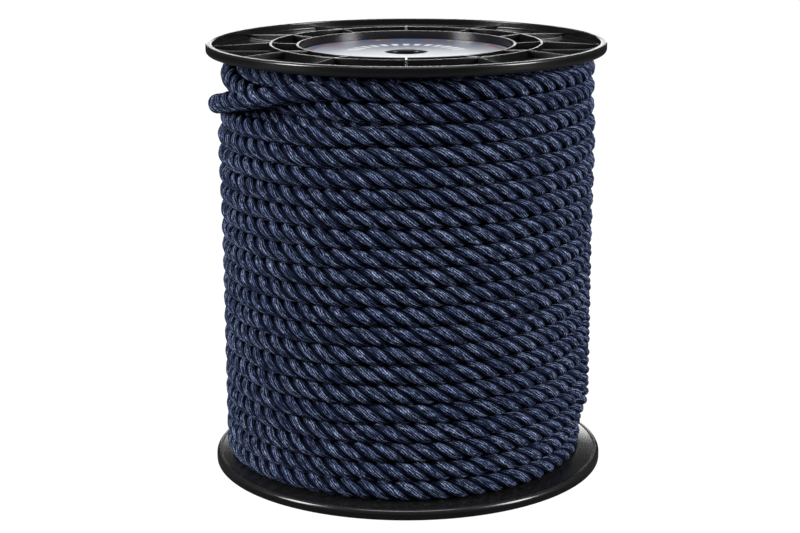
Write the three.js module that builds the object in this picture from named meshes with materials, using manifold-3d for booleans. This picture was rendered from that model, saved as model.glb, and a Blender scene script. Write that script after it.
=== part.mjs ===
// A reel of three-strand laid rope: two moulded flanges, a core barrel, a printed disc in the
// upper flange, four layers of rope, and the rope's last turns with their tucked and taped end.
// Millimetres, +Z up. The reel stands on its lower flange, with the origin under its axis.
import * as THREE from 'three';
import { mergeVertices } from 'three/addons/utils/BufferGeometryUtils.js';
import Module from 'manifold-3d';

// Driving dimensions.
const REEL_HEIGHT = 271;
const FLANGE_RADIUS = 125;
const FLANGE_DEPTH = 8.6;
const RIM_HEIGHT = 6.4;
const RIM_WALL = 3.8;
const RIM_TOP_ROUND = 1.2;
const RIM_LOWER_ROUND = 2.4;
const WEB_THICKNESS = 2.2;
const DISH_START_RADIUS = 112;
const DISH_RISE = 1.8;
const OUTER_RING_RADIUS = 85.4;
const HUB_CUP_RADIUS = 68.7;
const MOULDED_WALL = 1.5;
const OUTER_RING_DROP = 1.2;
const HUB_CUP_DROP = 2.0;
const RIB_DROP_AT_RIM = 3.3;
const RIB_SINK = 0.05;
const RIB_COUNT = 12;
const CUP_FLOOR_DEPTH = 8.0;
const CUP_FLOOR_THICKNESS = 2.2;
const BORE_RADIUS = 12.5;
const BOSS_RADIUS = 16;
const BOSS_DEPTH = 30;
const BARREL_INNER_RADIUS = 69.0;
const BARREL_OUTER_RADIUS = 71.5;
const LABEL_RADIUS = 66.2;
const LABEL_HOLE_RADIUS = 13.6;
const LABEL_THICKNESS = 0.6;
const ROPE_DIAMETER = 12;
const TURN_PITCH = 12.04;
const TURNS_PER_LAYER = 21;
const LAYER_RADII = [77.8, 89.1, 100.5, 111.8];
const LAYER_HALF_WIDTH = 5.4;
const LAYER_EASE = 2.5;
const NOTCH_FLOOR = 2.5;
const THIRD_LAYER_CLEARANCE = 0.9;
const LOOSE_TURNS = 3;
const TUBE_RADIUS = 5.4;
const TUBE_SIDES = 10;
const TUBE_STEPS = 80;
const TAPE_STEPS = 2;
const TOP_TURN_LOWERING = 0.2;
const WINDING_CLEARANCE = 1.0;
const GAP = 0.3;
const FLANGE_SEGMENTS = 60;
const RING_SEGMENTS = 48;

// Worked out from the driving dimensions.
const WINDING_BOTTOM = FLANGE_DEPTH + WINDING_CLEARANCE;
const WINDING_TOP = WINDING_BOTTOM + TURNS_PER_LAYER * TURN_PITCH;
const turnCentre = (turn) => WINDING_BOTTOM + (turn + 0.5) * TURN_PITCH;
const TOP_TURN_Z = turnCentre(TURNS_PER_LAYER - 1);
const SECOND_TURN_Z = turnCentre(TURNS_PER_LAYER - 2);
const THIRD_TURN_Z = turnCentre(TURNS_PER_LAYER - 3);
const OUTER_LAYER_RADIUS = LAYER_RADII[3];

const wasm = await Module();
wasm.setup();

const material = (color, roughness, metalness = 0) =>
  new THREE.MeshStandardMaterial({ color, roughness, metalness });

const reel = new THREE.Group();

function addPiece(name, geometry, finish) {
  const mesh = new THREE.Mesh(geometry, finish);
  mesh.name = name;
  reel.add(mesh);
  return mesh;
}

// A closed profile of [radius, height] points, turned about the Z axis.
function turned(profile, segments) {
  const outline = profile.map(([radius, height]) => new THREE.Vector2(radius, height));
  outline.push(outline[0].clone());
  const geometry = new THREE.LatheGeometry(outline, segments);
  geometry.rotateX(Math.PI / 2);
  return geometry;
}

function toSolid(geometry) {
  const bare = geometry.clone();
  bare.deleteAttribute('normal');
  bare.deleteAttribute('uv');
  const merged = mergeVertices(bare, 1e-4);
  return new wasm.Manifold(new wasm.Mesh({
    numProp: 3,
    vertProperties: new Float32Array(merged.attributes.position.array),
    triVerts: new Uint32Array(merged.index.array),
  }));
}

function fromSolid(solid) {
  const { vertProperties, triVerts } = solid.getMesh();
  const geometry = new THREE.BufferGeometry();
  geometry.setAttribute('position', new THREE.BufferAttribute(new Float32Array(vertProperties), 3));
  geometry.setIndex(new THREE.BufferAttribute(new Uint32Array(triVerts), 1));
  geometry.computeVertexNormals();
  return geometry;
}

// Points of a round corner, from one angle to another about its centre.
function roundCorner(centreRadius, centreHeight, radius, fromAngle, toAngle, count) {
  return Array.from({ length: count + 1 }, (_, i) => {
    const angle = THREE.MathUtils.degToRad(fromAngle + ((toAngle - fromAngle) * i) / count);
    return [centreRadius + radius * Math.cos(angle), centreHeight + radius * Math.sin(angle)];
  });
}

// The flange is drawn with its outer face up and its rim's edge at height 0. From the bore
// outwards: the boss, the cup floor that carries the label, the cup wall, the ribbed web with its
// outer ring, the dished margin, and the rim with its rounded edges.
function flangeBody() {
  const webTop = WEB_THICKNESS - FLANGE_DEPTH;
  const rimInner = FLANGE_RADIUS - RIM_WALL;
  const cupInner = HUB_CUP_RADIUS - MOULDED_WALL;
  const ringInner = OUTER_RING_RADIUS - MOULDED_WALL;
  return turned([
    [BORE_RADIUS, -BOSS_DEPTH],
    [BORE_RADIUS, -CUP_FLOOR_DEPTH],
    [cupInner, -CUP_FLOOR_DEPTH],
    [cupInner, -HUB_CUP_DROP],
    [HUB_CUP_RADIUS, -HUB_CUP_DROP],
    [HUB_CUP_RADIUS, webTop],
    [ringInner, webTop],
    [ringInner, -OUTER_RING_DROP],
    [OUTER_RING_RADIUS, -OUTER_RING_DROP],
    [OUTER_RING_RADIUS, webTop],
    [DISH_START_RADIUS, webTop],
    [rimInner, webTop + DISH_RISE],
    [rimInner, 0],
    ...roundCorner(FLANGE_RADIUS - RIM_TOP_ROUND, -RIM_TOP_ROUND, RIM_TOP_ROUND, 90, 0, 2),
    ...roundCorner(
      FLANGE_RADIUS - RIM_LOWER_ROUND, RIM_LOWER_ROUND - RIM_HEIGHT, RIM_LOWER_ROUND, 0, -90, 3,
    ),
    [rimInner, -RIM_HEIGHT],
    [DISH_START_RADIUS, -FLANGE_DEPTH],
    [HUB_CUP_RADIUS, -FLANGE_DEPTH],
    [HUB_CUP_RADIUS, -CUP_FLOOR_DEPTH - CUP_FLOOR_THICKNESS],
    [BOSS_RADIUS, -CUP_FLOOR_DEPTH - CUP_FLOOR_THICKNESS],
    [BOSS_RADIUS, -BOSS_DEPTH],
  ].reverse(), FLANGE_SEGMENTS);
}

// One radial rib, a plate whose top edge rises from the cup wall to the outer ring and falls to
// the rim. Its foot is sunk into the web.
function radialRib(index) {
  const start = HUB_CUP_RADIUS - MOULDED_WALL / 2;
  const end = FLANGE_RADIUS - RIM_WALL / 2;
  const foot = WEB_THICKNESS / 2 - FLANGE_DEPTH;
  const plate = new THREE.Shape([
    new THREE.Vector2(start, foot),
    new THREE.Vector2(DISH_START_RADIUS, foot),
    new THREE.Vector2(end, foot + DISH_RISE),
    new THREE.Vector2(end, -RIB_DROP_AT_RIM),
    new THREE.Vector2(OUTER_RING_RADIUS - MOULDED_WALL / 2, -OUTER_RING_DROP - RIB_SINK),
    new THREE.Vector2(start, -HUB_CUP_DROP - RIB_SINK),
  ]);
  const geometry = new THREE.ExtrudeGeometry(plate, { depth: MOULDED_WALL, bevelEnabled: false });
  geometry.translate(0, 0, -MOULDED_WALL / 2);
  geometry.rotateX(Math.PI / 2);
  geometry.rotateZ((index * 2 * Math.PI) / RIB_COUNT);
  return geometry;
}

function flangeGeometry() {
  let solid = toSolid(flangeBody());
  for (let index = 0; index < RIB_COUNT; index += 1) {
    solid = solid.add(toSolid(radialRib(index)));
  }
  return fromSolid(solid);
}

// A plain ring for one wound layer, with eased corners.
function layerRing(inner, outer, bottom, top) {
  return turned([
    [inner, bottom],
    [outer - LAYER_EASE, bottom],
    [outer, bottom + LAYER_EASE],
    [outer, top - LAYER_EASE],
    [outer - LAYER_EASE, top],
    [inner, top],
  ], RING_SEGMENTS);
}

// The third layer leaves out its second turn from the top, where a crossing turn is pressed in.
function thirdLayerRing(inner, outer, bottom, top) {
  const notchBottom = THIRD_TURN_Z + TURN_PITCH / 2 - GAP;
  const notchTop = TOP_TURN_Z - TURN_PITCH / 3;
  const notchRadius = inner + NOTCH_FLOOR;
  return turned([
    [inner, bottom],
    [outer, bottom],
    [outer, notchBottom],
    [notchRadius, notchBottom],
    [notchRadius, notchTop],
    [outer, notchTop],
    [outer, top],
    [inner, top],
  ], RING_SEGMENTS);
}

function polar(degrees, radius, height) {
  const angle = THREE.MathUtils.degToRad(degrees);
  return new THREE.Vector3(radius * Math.cos(angle), radius * Math.sin(angle), height);
}

// Level points of a coiled stretch, counterclockwise from above, one every 15 degrees.
function coilPoints(fromDegrees, toDegrees, height) {
  const count = Math.round((toDegrees - fromDegrees) / 15);
  return Array.from({ length: count + 1 }, (_, i) =>
    polar(fromDegrees + ((toDegrees - fromDegrees) * i) / count, OUTER_LAYER_RADIUS, height));
}

// The rope's last three turns. The third turn from the top goes round, swells out on the left,
// climbs over the other two and becomes the top turn. The top turn goes round, passes in under
// that crossing, and becomes the second turn, whose end is tucked in behind the swelling.
function lastTurnsRoute() {
  return [
    ...coilPoints(250, 520, THIRD_TURN_Z),
    polar(532, 113.5, 232.2),
    polar(541, 116.6, 231.9),
    polar(550, 119.2, 232.2),
    polar(560, 119.8, 234.8),
    polar(570, 119.6, 238.4),
    polar(580, 119.0, 242.6),
    polar(590, 117.8, 248.0),
    polar(600, 114.6, 253.4),
    ...coilPoints(612, 890, TOP_TURN_Z - TOP_TURN_LOWERING),
    polar(900, 111.7, 255.2),
    polar(910, 111.1, 252.2),
    polar(920, 109.5, 248.9),
    polar(930, 107.5, 246.8),
    polar(940, 106.2, 245.3),
    polar(950, 106.5, 244.4),
    polar(960, 108.2, 243.9),
    ...coilPoints(972, 1236, SECOND_TURN_Z),
    polar(1245, 110.4, 244.1),
  ];
}

const TAPED_END = [
  polar(1245.8, 110.2, 244.05),
  polar(1250, 109.2, 243.8),
  polar(1255, 108.1, 243.5),
];

function ropeTube(points, radius, steps) {
  const section = new THREE.Shape(Array.from({ length: TUBE_SIDES }, (_, i) => {
    const angle = (i * 2 * Math.PI) / TUBE_SIDES;
    return new THREE.Vector2(radius * Math.cos(angle), radius * Math.sin(angle));
  }));
  return new THREE.ExtrudeGeometry(section, {
    steps,
    bevelEnabled: false,
    extrudePath: new THREE.CatmullRomCurve3(points, false, 'centripetal'),
  });
}

// Flanges: two mouldings from one tool, outer faces up and down.
const flange = flangeGeometry();
const upperFlange = addPiece('upper_flange', flange, material(0x101113, 0.28));
upperFlange.position.z = REEL_HEIGHT;
const lowerFlange = addPiece('lower_flange', flange.clone(), material(0x101113, 0.28));
lowerFlange.rotation.x = Math.PI;

// Core barrel: a plain tube, held between the webs, over the two cup walls.
addPiece('core_barrel', turned([
  [BARREL_INNER_RADIUS, FLANGE_DEPTH + GAP],
  [BARREL_OUTER_RADIUS, FLANGE_DEPTH + GAP],
  [BARREL_OUTER_RADIUS, REEL_HEIGHT - FLANGE_DEPTH - GAP],
  [BARREL_INNER_RADIUS, REEL_HEIGHT - FLANGE_DEPTH - GAP],
], RING_SEGMENTS), material(0x1a1b1d, 0.5));

// Label: a printed disc on the floor of the upper cup.
const labelBottom = REEL_HEIGHT - CUP_FLOOR_DEPTH + GAP;
addPiece('label_disc', turned([
  [LABEL_HOLE_RADIUS, labelBottom],
  [LABEL_RADIUS, labelBottom],
  [LABEL_RADIUS, labelBottom + LABEL_THICKNESS],
  [LABEL_HOLE_RADIUS, labelBottom + LABEL_THICKNESS],
], FLANGE_SEGMENTS), material(0xc9ccd4, 0.35));

// Wound layers, from the barrel outwards.
const ropeFinish = () => material(0x23294a, 0.85);
const fullTop = WINDING_TOP - GAP;
const looseTop = WINDING_TOP - LOOSE_TURNS * TURN_PITCH - GAP;
for (const layer of [1, 2]) {
  const centre = LAYER_RADII[layer - 1];
  const ring = layerRing(centre - LAYER_HALF_WIDTH, centre + LAYER_HALF_WIDTH, WINDING_BOTTOM, fullTop);
  addPiece(`rope_layer_${layer}`, ring, ropeFinish());
}
addPiece('rope_layer_3', thirdLayerRing(
  LAYER_RADII[2] - LAYER_HALF_WIDTH,
  LAYER_RADII[2] + LAYER_HALF_WIDTH - THIRD_LAYER_CLEARANCE,
  WINDING_BOTTOM,
  fullTop,
), ropeFinish());
addPiece('rope_layer_4', layerRing(
  OUTER_LAYER_RADIUS - LAYER_HALF_WIDTH,
  OUTER_LAYER_RADIUS + ROPE_DIAMETER / 2,
  WINDING_BOTTOM,
  looseTop,
), ropeFinish());

// The last three turns, and the taped end of the rope.
addPiece('rope_last_turns', ropeTube(lastTurnsRoute(), TUBE_RADIUS, TUBE_STEPS), ropeFinish());
addPiece('rope_end_tape', ropeTube(TAPED_END, TUBE_RADIUS, TAPE_STEPS), material(0x15161a, 0.4));

export default reel;
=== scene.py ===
# %% [markdown]
# # A reel of laid dock line
#
# The object is a shop reel: two black moulded flanges, pushed into the ends of a barrel, a printed
# disc in the upper flange, and about fifty metres of navy three-strand rope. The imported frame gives
# every place and size. This lesson builds the fine surface of each piece around it: first the camera
# and the rope, which is one line in many turns, then the mouldings, then the finishes and the light.

# %% Load the frame
import math

import bpy
import numpy as np
from mathutils import Matrix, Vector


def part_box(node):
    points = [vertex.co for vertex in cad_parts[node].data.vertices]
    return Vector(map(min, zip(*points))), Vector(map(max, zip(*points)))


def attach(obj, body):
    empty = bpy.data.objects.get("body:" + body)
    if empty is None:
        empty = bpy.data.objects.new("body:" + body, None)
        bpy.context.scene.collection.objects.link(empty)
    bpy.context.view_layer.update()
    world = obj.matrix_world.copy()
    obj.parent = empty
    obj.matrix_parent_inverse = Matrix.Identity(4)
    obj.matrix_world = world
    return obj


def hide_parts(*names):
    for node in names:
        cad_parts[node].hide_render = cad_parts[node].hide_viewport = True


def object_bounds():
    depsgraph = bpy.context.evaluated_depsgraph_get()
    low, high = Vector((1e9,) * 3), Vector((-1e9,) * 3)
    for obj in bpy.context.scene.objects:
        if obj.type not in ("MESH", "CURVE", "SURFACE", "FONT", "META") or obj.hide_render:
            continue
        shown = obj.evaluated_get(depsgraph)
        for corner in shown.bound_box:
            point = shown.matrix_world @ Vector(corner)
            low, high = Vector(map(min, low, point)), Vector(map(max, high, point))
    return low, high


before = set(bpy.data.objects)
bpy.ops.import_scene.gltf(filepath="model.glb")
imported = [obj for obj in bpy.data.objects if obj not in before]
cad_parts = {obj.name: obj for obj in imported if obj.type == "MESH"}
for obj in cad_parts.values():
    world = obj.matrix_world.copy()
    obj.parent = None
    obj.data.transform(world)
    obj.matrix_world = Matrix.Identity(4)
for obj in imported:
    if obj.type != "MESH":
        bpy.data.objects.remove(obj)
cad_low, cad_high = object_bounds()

REEL_HEIGHT = cad_high.z - cad_low.z
FLANGE_RADIUS = (cad_high.x - cad_low.x) / 2
print(f"reel {REEL_HEIGHT * 1000:.1f} mm high, flange radius {FLANGE_RADIUS * 1000:.1f} mm")

# %% [markdown]
# ## The camera
#
# The reel is seen from a little above, from about 1.2 metres away, with a long lens. The camera's
# axes are worked out from its yaw, pitch and roll, so that the three angles stay readable.

# %% Place the camera
CAMERA_PLACE = (0.0, -1.1718, 0.4134)
CAMERA_YAW, CAMERA_PITCH, CAMERA_ROLL = -0.0039, 0.2411, -0.005
CAMERA_LENS = 84.37


def camera_axes(yaw, pitch, roll):
    """Columns of the camera's rotation: right, up and backwards. The forward axis is turned from +Y
    by yaw about Z and dipped by pitch; right and up are then rolled about it."""
    forward = np.array([
        math.sin(yaw) * math.cos(pitch),
        math.cos(yaw) * math.cos(pitch),
        -math.sin(pitch),
    ])
    right = np.cross(forward, (0, 0, 1))
    right /= np.linalg.norm(right)
    up = np.cross(right, forward)
    rolled_right = right * math.cos(roll) + up * math.sin(roll)
    rolled_up = up * math.cos(roll) - right * math.sin(roll)
    return np.stack([rolled_right, rolled_up, -forward], axis=1)


camera_data = bpy.data.cameras.new("camera")
camera_data.lens = CAMERA_LENS
camera_data.sensor_width = 36.0
camera = bpy.data.objects.new("camera", camera_data)
bpy.context.scene.collection.objects.link(camera)
turn = Matrix(camera_axes(CAMERA_YAW, CAMERA_PITCH, CAMERA_ROLL).tolist()).to_4x4()
camera.matrix_world = Matrix.Translation(CAMERA_PLACE) @ turn
bpy.context.scene.camera = camera
print(f"camera {camera.location.length:.2f} m away, lens {CAMERA_LENS} mm")

# %% [markdown]
# ## Meshes from arrays
#
# Every new piece is a grid of points worked out as one numpy array. A grid may close on itself in
# either direction, as a ring or a tube does. The helpers below number its faces, turn them outwards
# by the sign of the volume they enclose, and hand everything to Blender in a few calls.

# %% Two curves that many shapes use


def rise(value, start, end):
    """0 up to start, 1 from end on, and 3x^2 - 2x^3 of the part done between them."""
    x = np.clip((value - start) / (end - start), 0.0, 1.0)
    return x * x * (3 - 2 * x)


def bell(value, centre, spread):
    """1 at the centre, falling off both ways as exp(-x^2), with x counted in spreads."""
    return np.exp(-(((value - centre) / spread) ** 2))


print(f"half way up a rise: {rise(0.5, 0, 1):.2f}, one spread down a bell: {bell(1, 0, 1):.2f}")

# %% Grid faces


def grid_faces(rows, columns, wrap_rows=False, wrap_columns=False):
    """Quads of a grid of points numbered row by row. A wrapped direction joins its last line of
    points to its first."""
    row, column = np.meshgrid(
        np.arange(rows if wrap_rows else rows - 1),
        np.arange(columns if wrap_columns else columns - 1),
        indexing="ij",
    )
    next_row, next_column = (row + 1) % rows, (column + 1) % columns
    corners = (
        row * columns + column,
        row * columns + next_column,
        next_row * columns + next_column,
        next_row * columns + column,
    )
    return np.stack(corners, axis=-1).reshape(-1, 4)


def enclosed_volume(points, faces):
    """Volume inside closed faces: the sum of the tetrahedra from the origin to each triangle of
    each face's fan. It is negative if the faces point inwards."""
    total = 0.0
    for group in faces:
        for k in range(1, group.shape[1] - 1):
            a, b, c = points[group[:, 0]], points[group[:, k]], points[group[:, k + 1]]
            total += (a * np.cross(b, c)).sum() / 6
    return total


def closed_shell(points, faces):
    """The points as a list of rows, and the faces turned outwards."""
    points = points.reshape(-1, 3)
    if enclosed_volume(points, faces) < 0:
        faces = [group[:, ::-1] for group in faces]
    return points, faces


cube_faces = len(grid_faces(4, 4, wrap_rows=True, wrap_columns=True))
print(f"a grid of 4 by 4 points, closed both ways, has {cube_faces} faces")

# %% The mesh maker


def new_piece(name, points, faces, sharp_rings=()):
    """A smooth mesh object at the origin from points and face groups, each group an array with one
    number of corners. sharp_rings are arrays of points whose edges stay sharp, as at a cut end."""
    mesh = bpy.data.meshes.new(name)
    corners = np.concatenate([group.reshape(-1) for group in faces])
    sizes = np.concatenate([np.full(len(group), group.shape[1]) for group in faces])
    starts = np.concatenate([[0], np.cumsum(sizes)[:-1]])
    mesh.vertices.add(len(points))
    mesh.vertices.foreach_set("co", points.astype(np.float32).ravel())
    mesh.loops.add(len(corners))
    mesh.loops.foreach_set("vertex_index", corners.astype(np.int32))
    mesh.polygons.add(len(sizes))
    mesh.polygons.foreach_set("loop_start", starts.astype(np.int32))
    mesh.update(calc_edges=True)
    mesh.shade_smooth()
    if len(sharp_rings):
        ends = np.zeros(len(mesh.edges) * 2, np.int32)
        mesh.edges.foreach_get("vertices", ends)
        ends = ends.reshape(-1, 2)
        sharp = np.zeros(len(ends), bool)
        for ring in sharp_rings:
            sharp |= np.isin(ends, ring).all(axis=1)
        mesh.attributes.new("sharp_edge", "BOOLEAN", "EDGE").data.foreach_set("value", sharp)
    piece = bpy.data.objects.new(name, mesh)
    bpy.context.scene.collection.objects.link(piece)
    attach(piece, "root")
    return piece

# %% [markdown]
# ## Where the rope runs
#
# A reel is filled layer by layer. The rope starts at the barrel under the upper flange, winds down,
# climbs onto the first layer at the lower flange, winds up, and so on. Each inner turn is level for
# three quarters of its way and steps to its neighbour's row in the last quarter, which is how turns
# nest on a real reel. Places are given as winding angle in degrees, counterclockwise from +X seen
# from above, with radius and height in metres.

# %% Sizes of the winding and the inner layers
PITCH = 0.01204
LAYER_RADII = (0.0778, 0.0891, 0.1005, 0.1118)
ROWS = 21
LOWEST_CENTRE = 0.0147
HIGHEST_CENTRE = REEL_HEIGHT - LOWEST_CENTRE
WINDING_BOTTOM = 0.0096
JOINT_SIDE = 150.0
CLIMB_SPAN = 40.0
LEVEL_PART = 0.75


def inner_layer(layer, angle, rows):
    """Radius and height of an inner layer at winding angles counted from its start. rows lists the
    row of each full turn. A turn is level, then steps to the next row in its last quarter. The
    radius eases out by half a layer at each end, where the rope climbs from layer to layer."""
    turns = angle / 360
    whole = np.minimum(turns.astype(int), len(rows) - 1)
    rows = np.append(rows, rows[-1])
    step = rise(turns - whole, LEVEL_PART, 1.0)
    row = rows[whole] * (1 - step) + rows[whole + 1] * step
    height = LOWEST_CENTRE + row * (HIGHEST_CENTRE - LOWEST_CENTRE) / (ROWS - 1)
    radius = np.full(len(angle), LAYER_RADII[layer])
    if layer > 0:
        before = (LAYER_RADII[layer] - LAYER_RADII[layer - 1]) / 2
        radius -= before * (1 - rise(angle, 0, CLIMB_SPAN))
    if layer < 2:
        after = (LAYER_RADII[layer + 1] - LAYER_RADII[layer]) / 2
        radius += after * rise(angle, angle[-1] - CLIMB_SPAN, angle[-1])
    return radius, height


print(f"{ROWS} rows fit in a layer, and the outer ones are {PITCH * 1000:.2f} mm apart")

# %% [markdown]
# The outer layer is the one that shows. Its turns follow a right-hand helix with small faults that
# give a real reel its look: the rows have settled a little, they dip where the crossing presses on
# them, they sag on the left before they step up near the front, and they swell out near the top.
# The lowest rows are lifted and set in at the right, where the rope climbs out of the third layer.
# Each fault is an amount in metres, and the sides and heights between which it comes and goes.

# %% The outer layer's faults
SETTLED = 0.0011
DIP, DIP_TURN, DIP_SPREAD = 0.002, 15.5, 5.5
SAG, SAG_HEIGHTS = 0.0013, (0.015, 0.060)
SAG_START, SAG_START_SHIFT, SAG_SHIFT_HEIGHT = 212.0, 45.0, 0.14
SAG_FULL, SAG_END = 243.0, (246.0, 262.0)
LIFT, LIFT_HEIGHT = 0.0085, 0.17
LIFT_START, LIFT_RISE, LIFT_FALL = 335.0, 28.0, (60.0, 275.0)
SET_IN, SET_IN_REACH, SET_IN_HEIGHTS = 0.0055, 55.0, (0.028, 0.044)
SWELL, SWELL_HEIGHT, SWELL_SPREAD = 0.0010, 0.205, 0.035
PRESSED_IN, PRESSED_DOWN, PRESSED_SIDE, PRESSED_SPREAD = 0.0018, 0.0012, 192.0, 22.0
print(f"the outer rows sag by up to {SAG * 1000:.1f} mm and are set in by up to {SET_IN * 1000:.1f} mm")

# %% The outer layer
OUTER_CLIMB_FROM = 305.0
OUTER_CLIMB_SPAN = 105.0
FRONT_SIDE = 270.0
OUTER_END = 250.0
OUTER_TURNS = 18


def row_height(angle):
    """Height of the outer layer: a helix through the middle of each row at the front, less what it
    has settled, the dip and the sag, plus the lift. It never goes below the lowest row."""
    turns = (angle - FRONT_SIDE) / 360
    height = WINDING_BOTTOM - SETTLED + PITCH * (turns + 0.5) - DIP * bell(turns, DIP_TURN, DIP_SPREAD)
    side = angle % 360
    sag_start = SAG_START - SAG_START_SHIFT * rise(height, 0, SAG_SHIFT_HEIGHT)
    sag = SAG * rise(height, *SAG_HEIGHTS) * rise(side, sag_start, SAG_FULL)
    sag *= 1 - rise(side, *SAG_END)
    past = (angle - LIFT_START) % 360
    lift = LIFT * (1 - rise(height, 0, LIFT_HEIGHT))
    lift *= rise(past, 0, LIFT_RISE) * (1 - rise(past, *LIFT_FALL))
    return np.maximum(height - sag + lift, LOWEST_CENTRE)


def outer_layer(angle):
    """Radius and height of the outer layer at winding angles, 0 at +X on the first turn. The radius
    is the layer's own, with the swell, less what the lowest rows are set in. The first stretch
    climbs out from the third layer, and the last one is pressed in and down by the crossing."""
    height = row_height(angle)
    from_right = np.abs((angle + 180) % 360 - 180)
    set_in = SET_IN * np.cos(np.clip(from_right / SET_IN_REACH, 0, 1) * np.pi / 2) ** 2
    set_in *= 1 - rise(height, *SET_IN_HEIGHTS)
    radius = LAYER_RADII[3] - set_in + SWELL * bell(height, SWELL_HEIGHT, SWELL_SPREAD)
    start = OUTER_CLIMB_FROM - 360
    climb = rise(angle, start, start + OUTER_CLIMB_SPAN)
    climbing = LAYER_RADII[2] + (LAYER_RADII[3] - LAYER_RADII[2]) * climb
    radius = np.where(angle < start + OUTER_CLIMB_SPAN, climbing, radius)
    pressed = bell(angle, 360 * OUTER_TURNS + PRESSED_SIDE, PRESSED_SPREAD)
    return radius - PRESSED_IN * pressed, height - PRESSED_DOWN * pressed


print(f"the outer layer has {OUTER_TURNS} turns under the last three")

# %% [markdown]
# The last three turns cross each other. The third turn from the top goes round, swells out on the
# left, climbs over the other two and becomes the top turn. The top turn goes round, passes in under
# that crossing, and becomes the second turn, whose taped end is tucked in behind the swelling. The
# route is a short list of given places, joined by a smooth curve.

# %% The last turns
LAST_TURNS = np.array([
    (320, 0.1118, 0.2324),
    (345, 0.1118, 0.2328),
    (380, 0.1118, 0.2329),
    (430, 0.1118, 0.2327),
    (480, 0.1118, 0.2325),
    (520, 0.1119, 0.2323),
    (532, 0.1135, 0.2322),
    (541, 0.1162, 0.2332),
    (550, 0.1186, 0.2358),
    (560, 0.1192, 0.2392),
    (570, 0.1191, 0.2428),
    (580, 0.1187, 0.2465),
    (590, 0.1176, 0.2506),
    (600, 0.1148, 0.2542),
    (612, 0.1119, 0.2558),
    (630, 0.1118, 0.2561),
    (660, 0.1118, 0.2562),
    (700, 0.1118, 0.2562),
    (740, 0.1118, 0.2562),
    (780, 0.1118, 0.2562),
    (820, 0.1118, 0.2562),
    (855, 0.1112, 0.2560),
    (880, 0.1104, 0.2554),
    (898, 0.1101, 0.2540),
    (910, 0.1098, 0.2516),
    (920, 0.1088, 0.2488),
    (930, 0.1075, 0.2468),
    (940, 0.1062, 0.2453),
    (950, 0.1065, 0.2444),
    (960, 0.1082, 0.2439),
    (972, 0.1108, 0.2436),
    (990, 0.1118, 0.2438),
    (1020, 0.1118, 0.2444),
    (1060, 0.1118, 0.2447),
    (1120, 0.1118, 0.2446),
    (1180, 0.1118, 0.2444),
    (1225, 0.1118, 0.2443),
    (1245, 0.1104, 0.2441),
    (1250, 0.1092, 0.2438),
    (1255, 0.1081, 0.2435),
])
TAPE_FROM = 1245.8
ROPE_END = LAST_TURNS[-1, 0]
print(f"{len(LAST_TURNS)} places lead the last turns round to {ROPE_END:.0f} degrees")

# %% A smooth curve through them
LEAD_BEHIND = 20
LEAD_END, LEAD_STEP = 305, 5.0


def through_points(knots, values, at):
    """A cubic curve through values at knots. The slope at each knot is that of its two neighbours,
    and each span is the Hermite cubic of its end values and slopes."""
    slopes = np.gradient(values, knots, axis=0)
    span = np.clip(np.searchsorted(knots, at, side="right") - 1, 0, len(knots) - 2)
    width = knots[span + 1] - knots[span]
    t = ((at - knots[span]) / width)[:, None]
    a, b = values[span], values[span + 1]
    slope_a, slope_b = slopes[span] * width[:, None], slopes[span + 1] * width[:, None]
    return (
        (2 * t**3 - 3 * t**2 + 1) * a
        + (t**3 - 2 * t**2 + t) * slope_a
        + (3 * t**2 - 2 * t**3) * b
        + (t**3 - t**2) * slope_b
    )


def last_turns(angle):
    """Radius and height of the last turns. The first stretch carries the outer layer on, and the
    listed places follow it."""
    lead = np.arange(OUTER_END - LEAD_BEHIND, LEAD_END, LEAD_STEP)
    radius, height = outer_layer(lead + 360 * OUTER_TURNS)
    settled = LAST_TURNS - (0, 0, SETTLED)
    places = np.concatenate([np.stack([lead, radius, height], axis=1), settled])
    made = through_points(places[:, 0], places[:, 1:], angle)
    return made[:, 0], made[:, 1]


def on_reel(angle, radius, height):
    """Points in the row frame from winding angles in degrees, radii and heights."""
    a = np.radians(angle)
    return np.stack([radius * np.cos(a), radius * np.sin(a), height], axis=1)


def length_along(points):
    """Distance along a line of points, from its first."""
    return np.concatenate([[0], np.cumsum(np.linalg.norm(np.diff(points, axis=0), axis=1))])

# %% [markdown]
# The five stretches are now worked out as lines of points, each starting where the one before it
# ends. The outer ones get closer points, because they are seen from near by.

# %% The whole route
FINE_STEP = 0.0016
COARSE_STEP = 0.0034


def angles_between(start, end, radius, step):
    """Evenly spaced winding angles from start to end, about step metres apart at that radius."""
    return np.linspace(start, end, math.ceil(math.radians(end - start) * radius / step) + 1)


def inner_route(layer, rows, last_turn=360.0):
    """The centre line of an inner layer, which starts at the side where the layers join. The last
    row may be only part of a turn."""
    end = 360 * (len(rows) - 1) + last_turn
    angle = angles_between(0, end, LAYER_RADII[layer], COARSE_STEP)
    return on_reel(angle + JOINT_SIDE, *inner_layer(layer, angle, rows))


down = np.arange(ROWS - 1, -1, -1)
first_layer = inner_route(0, down)
second_layer = inner_route(1, down[::-1])
# The third layer leaves its second row from the top free, where a crossing turn is pressed in.
third_layer = inner_route(2, np.delete(down, 1), OUTER_CLIMB_FROM - JOINT_SIDE)
outer_angles = angles_between(
    OUTER_CLIMB_FROM - 360, OUTER_END + 360 * OUTER_TURNS, LAYER_RADII[3], FINE_STEP
)
last_angles = angles_between(OUTER_END, ROPE_END, LAYER_RADII[3], FINE_STEP)
outer_route = on_reel(outer_angles, *outer_layer(outer_angles))
last_route = on_reel(last_angles, *last_turns(last_angles))
for title, line in (
    ("first", first_layer),
    ("second", second_layer),
    ("third", third_layer),
    ("outer", outer_route),
    ("last", last_route),
):
    print(f"{title} stretch of rope: {length_along(line)[-1]:.2f} m")

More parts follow.
